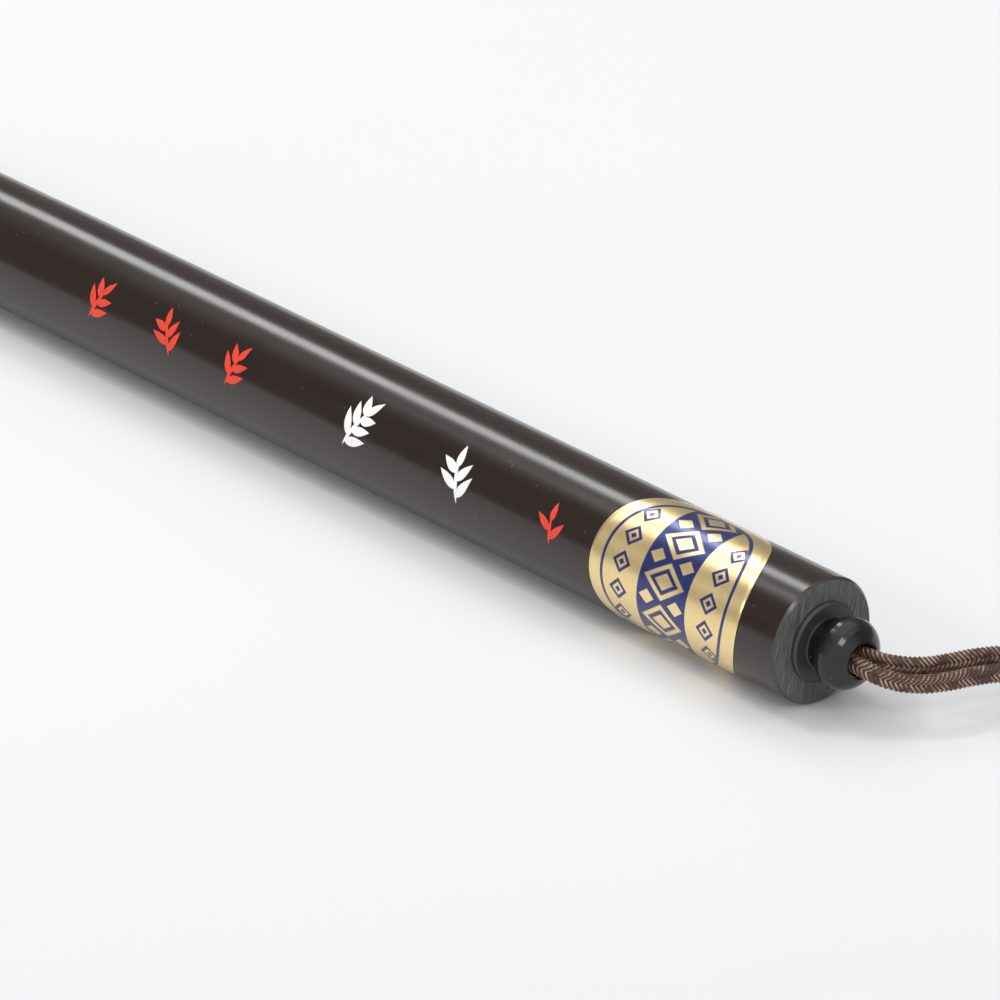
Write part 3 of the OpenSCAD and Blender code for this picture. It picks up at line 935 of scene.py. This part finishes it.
class BRUSH_OT_label(bpy.types.Operator):
    """Make the oval foil label that is bent round the tail"""

    bl_idname = "brush.label"
    bl_label = "Foil label"

    RINGS = 44
    SPOKES = 200
    RIPPLE = 0.006 * MM
    # How far the rim turns down, as a share of the foil's thickness
    RIM_TURN = 0.35

    def execute(self, context):
        settings = context.scene.brush_label
        inner = TAIL_R + LABEL_GAP
        outer = inner + settings.film
        top = self.sheet(settings, outer, self.RIPPLE)
        bottom = self.sheet(settings, inner, 0.0)
        points = top + bottom
        count = self.SPOKES
        half = len(top)
        faces = []
        for layer, flip in ((0, False), (half, True)):
            centre = layer
            ring = layer + 1
            for j in range(count):
                tri = (centre, ring + j, ring + (j + 1) % count)
                faces.append(tri[::-1] if flip else tri)
            for i in range(self.RINGS - 1):
                for j in range(count):
                    a = ring + i * count + j
                    b = ring + i * count + (j + 1) % count
                    quad = (a, a + count, b + count, b)
                    faces.append(quad[::-1] if flip else quad)
        edge = 1 + (self.RINGS - 1) * count
        for j in range(count):
            a, b = edge + j, edge + (j + 1) % count
            faces.append((a, half + a, half + b, b))
        label = make_piece("label_foil", points, faces, printed_foil(settings))
        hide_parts("foil_label")
        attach(label, "handle")
        return {"FINISHED"}

    def sheet(self, settings, radius, ripple):
        """One side of the foil, as rings round its middle. Only a rippled side turns down."""
        rows = [(0.0, 0.0)]
        for i in range(1, self.RINGS + 1):
            out = math.sin(math.pi / 2 * i / self.RINGS) ** 0.8
            for j in range(self.SPOKES):
                a = 2 * math.pi * j / self.SPOKES
                c, s = math.cos(a), math.sin(a)
                x = math.copysign(abs(c) ** (2 / LABEL_POWER), c)
                v = math.copysign(abs(s) ** (2 / LABEL_POWER), s)
                rows.append((out * x * settings.length / 2, out * v * settings.wrap / 2))
        points = []
        for x, v in rows:
            angle = LABEL_TURN + v / TAIL_R
            far = math.hypot(x / settings.length * 2, v / settings.wrap * 2)
            # Two crossed waves, 7 and 10 mm long
            wave = math.sin(x * 900 + 1.3) * math.sin(v * 620 + 0.4)
            turned = smoothstep((far - 0.975) / 0.03) if ripple else 0.0
            drop = settings.film * self.RIM_TURN * turned
            r = radius + ripple * wave - drop
            points.append((TAIL_X - LABEL_FROM_TAIL + x,
                           -r * math.sin(angle), AXIS_Z + r * math.cos(angle)))
        return points


class BRUSH_OT_tuft(bpy.types.Operator):
    """Make the hair tuft, from its bound root to its point"""

    bl_idname = "brush.tuft"
    bl_label = "Hair tuft"

    COLUMNS = 320
    LENGTH_STEPS = 150
    ROOT_STEPS = 24
    HAIR_STEPS = 22
    # Sets of grooves: how many round the bundle, and their depth in millimetres
    GROOVES = ((5, 0.05), (9, 0.045), (17, 0.04), (31, 0.035), (53, 0.028), (97, 0.024))
    STRAY_EVERY = 150
    # Two distances, behind the joint and ahead of it
    BENDS_BEHIND = 13 * MM
    BENDS_AHEAD = 21 * MM

    def execute(self, context):
        settings = context.scene.brush_tuft
        dice = random.Random(7)
        points, faces, along, shade = self.bundle(settings, dice)
        self.add_hairs(settings, dice, points, faces, along, shade)
        tuft = make_piece("hair_tuft", points, faces, tuft_hair(settings),
                          {"along": along, "shade": shade})
        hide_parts("waist_hair", "core_hair_root", "cover_hair_root",
                    "core_hair_tip", "cover_hair_tip", "life_hair")
        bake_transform(tuft)
        return {"FINISHED"}

    def point_at(self, u, angle, radius):
        return (MOUTH_X - u, -radius * math.sin(angle), AXIS_Z + radius * math.cos(angle))

    def bundle(self, settings, dice):
        """The whole bundle as one closed skin with shallow grooves between its clumps."""
        waves = [(n, dice.uniform(0, 6.28), dice.uniform(-0.6, 0.6), a * MM)
                 for n, a in self.GROOVES]
        tones = [dice.random() for _ in range(self.COLUMNS)]
        tones = [0.6 * t + 0.2 * tones[i - 1] + 0.2 * tones[(i + 1) % self.COLUMNS]
                 for i, t in enumerate(tones)]
        stations = [-ROOT_DEPTH + ROOT_DEPTH * i / self.ROOT_STEPS
                    for i in range(self.ROOT_STEPS)]
        stations += [TUFT_LEN * (1 - (1 - i / self.LENGTH_STEPS) ** 1.15)
                     for i in range(self.LENGTH_STEPS)]
        points, along, shade = [], [], []
        for u in stations:
            radius = tuft_radius(u, settings)
            open_air = smoothstep(u / (1.5 * MM))
            scale = min(1.0, radius / settings.radius + 0.15) * open_air
            for j in range(self.COLUMNS):
                angle = 2 * math.pi * j / self.COLUMNS
                groove = sum(a * (math.cos(n * angle + p + k * u / TUFT_LEN * 6) - 0.6)
                             for n, p, k, a in waves)
                r = max(radius + groove * scale, 0.3 * radius)
                points.append(self.point_at(u, angle, r))
                along.append(max(u, 0.0) / TUFT_LEN)
                shade.append(tones[j])
        faces = sided_faces(len(stations), self.COLUMNS)
        faces.append(tuple(range(self.COLUMNS)))
        tip = len(points)
        points.append(self.point_at(TUFT_LEN, 0, 0))
        along.append(1.0)
        shade.append(0.5)
        ring = tip - self.COLUMNS
        faces += [(ring + j, ring + (j + 1) % self.COLUMNS, tip) for j in range(self.COLUMNS)]
        return points, faces, along, shade

    def add_hairs(self, settings, dice, points, faces, along, shade):
        """Separate hairs that lie on the bundle, a few of them standing off it."""
        for number in range(settings.hairs):
            stray = number % self.STRAY_EVERY == 0
            # Half of the hairs start just inside the mouth, the others along the bundle
            start = -0.3 * MM if dice.random() < 0.5 else dice.uniform(0, 0.6) * TUFT_LEN
            length = dice.uniform(0.35, 0.95) * TUFT_LEN
            end = min(start + length, dice.uniform(0.9, 0.985) * TUFT_LEN)
            angle = dice.uniform(0, 2 * math.pi)
            drift = dice.gauss(0, 0.05)
            bow = dice.gauss(0, 0.03)
            lift = dice.uniform(0.0, 0.05) * MM
            stand_off = dice.uniform(0.15, 0.45) * MM if stray else 0.0
            thick = settings.hair_radius * dice.uniform(0.6, 1.15)
            tone = dice.random()
            first = len(points)
            for i in range(self.HAIR_STEPS + 1):
                t = i / self.HAIR_STEPS
                u = start + (end - start) * t
                turn = angle + drift * t + bow * math.sin(math.pi * t)
                settle = smoothstep(u / (1.2 * MM))
                base = tuft_radius(u, settings)
                r = base + lift * settle - 0.02 * MM * (1 - settle) + stand_off * t * t
                width = thick * min(1.0, 4 * t + 0.35) * min(1.0, 3.2 * (1 - t) + 0.08)
                width *= min(1.0, base / (0.12 * settings.radius) + 0.2)
                centre = Vector(self.point_at(u, turn, r))
                out = Vector((0, -math.sin(turn), math.cos(turn)))
                beside = Vector((0, -math.cos(turn), -math.sin(turn)))
                for corner in range(3):
                    a = 2 * math.pi * corner / 3
                    points.append(tuple(centre + out * (width * math.cos(a))
                                        + beside * (width * math.sin(a))))
                    along.append(max(u, 0.0) / TUFT_LEN)
                    shade.append(tone)
            faces += [tuple(first + k for k in quad)
                      for quad in sided_faces(self.HAIR_STEPS + 1, 3)]
            faces.append((first + 2, first + 1, first))
            last = first + 3 * self.HAIR_STEPS
            faces.append((last, last + 1, last + 2))


class BRUSH_OT_finishes(bpy.types.Operator):
    """Give the shaft, the finial, the marks and the hidden root their finishes"""

    bl_idname = "brush.finishes"
    bl_label = "Finishes"

    def execute(self, context):
        settings = context.scene.brush_shaft
        paint_node("shaft", lacquered_wood(settings))
        paint_node("finial", black_horn())
        paint_node("red_marks", brushed_paint("Red paint", settings.red, RED_WORN))
        paint_node("white_marks", brushed_paint("White paint", settings.white, WHITE_WORN))
        glue = dried_glue()
        paint_node("socket_glue", glue)
        paint_node("finial_glue", glue)
        paint_node("root_seal", burnt_resin())
        paint_node("root_binding", hemp_thread())
        return {"FINISHED"}


class BRUSH_PT_panel(bpy.types.Panel):
    """Lists the pieces of the brush"""

    bl_idname = "BRUSH_PT_panel"
    bl_label = "Calligraphy Brush"
    bl_space_type = "VIEW_3D"
    bl_region_type = "UI"
    bl_category = "Brush"

    def draw(self, context):
        for kind in OPERATORS:
            self.layout.operator(kind.bl_idname)
        for name, kind in SETTINGS.items():
            box = self.layout.box()
            box.label(text=kind.__doc__)
            for field in kind.__annotations__:
                box.prop(getattr(context.scene, name), field)


SETTINGS = {
    "brush_cord": CordSettings,
    "brush_label": LabelSettings,
    "brush_tuft": TuftSettings,
    "brush_shaft": ShaftSettings,
    "brush_stage": StageSettings,
}
OPERATORS = (BRUSH_OT_stage, BRUSH_OT_cord, BRUSH_OT_label, BRUSH_OT_tuft, BRUSH_OT_finishes)


def register():
    for kind in (*SETTINGS.values(), *OPERATORS, BRUSH_PT_panel):
        bpy.utils.register_class(kind)
    for name, kind in SETTINGS.items():
        setattr(bpy.types.Scene, name, bpy.props.PointerProperty(type=kind))


def unregister():
    for name in SETTINGS:
        delattr(bpy.types.Scene, name)
    for kind in (BRUSH_PT_panel, *OPERATORS, *SETTINGS.values()):
        bpy.utils.unregister_class(kind)


def main():
    register()
    bpy.ops.brush.stage()
    bpy.ops.brush.cord()
    bpy.ops.brush.label()
    bpy.ops.brush.tuft()
    bpy.ops.brush.finishes()


if __name__ == "__main__":
    main()
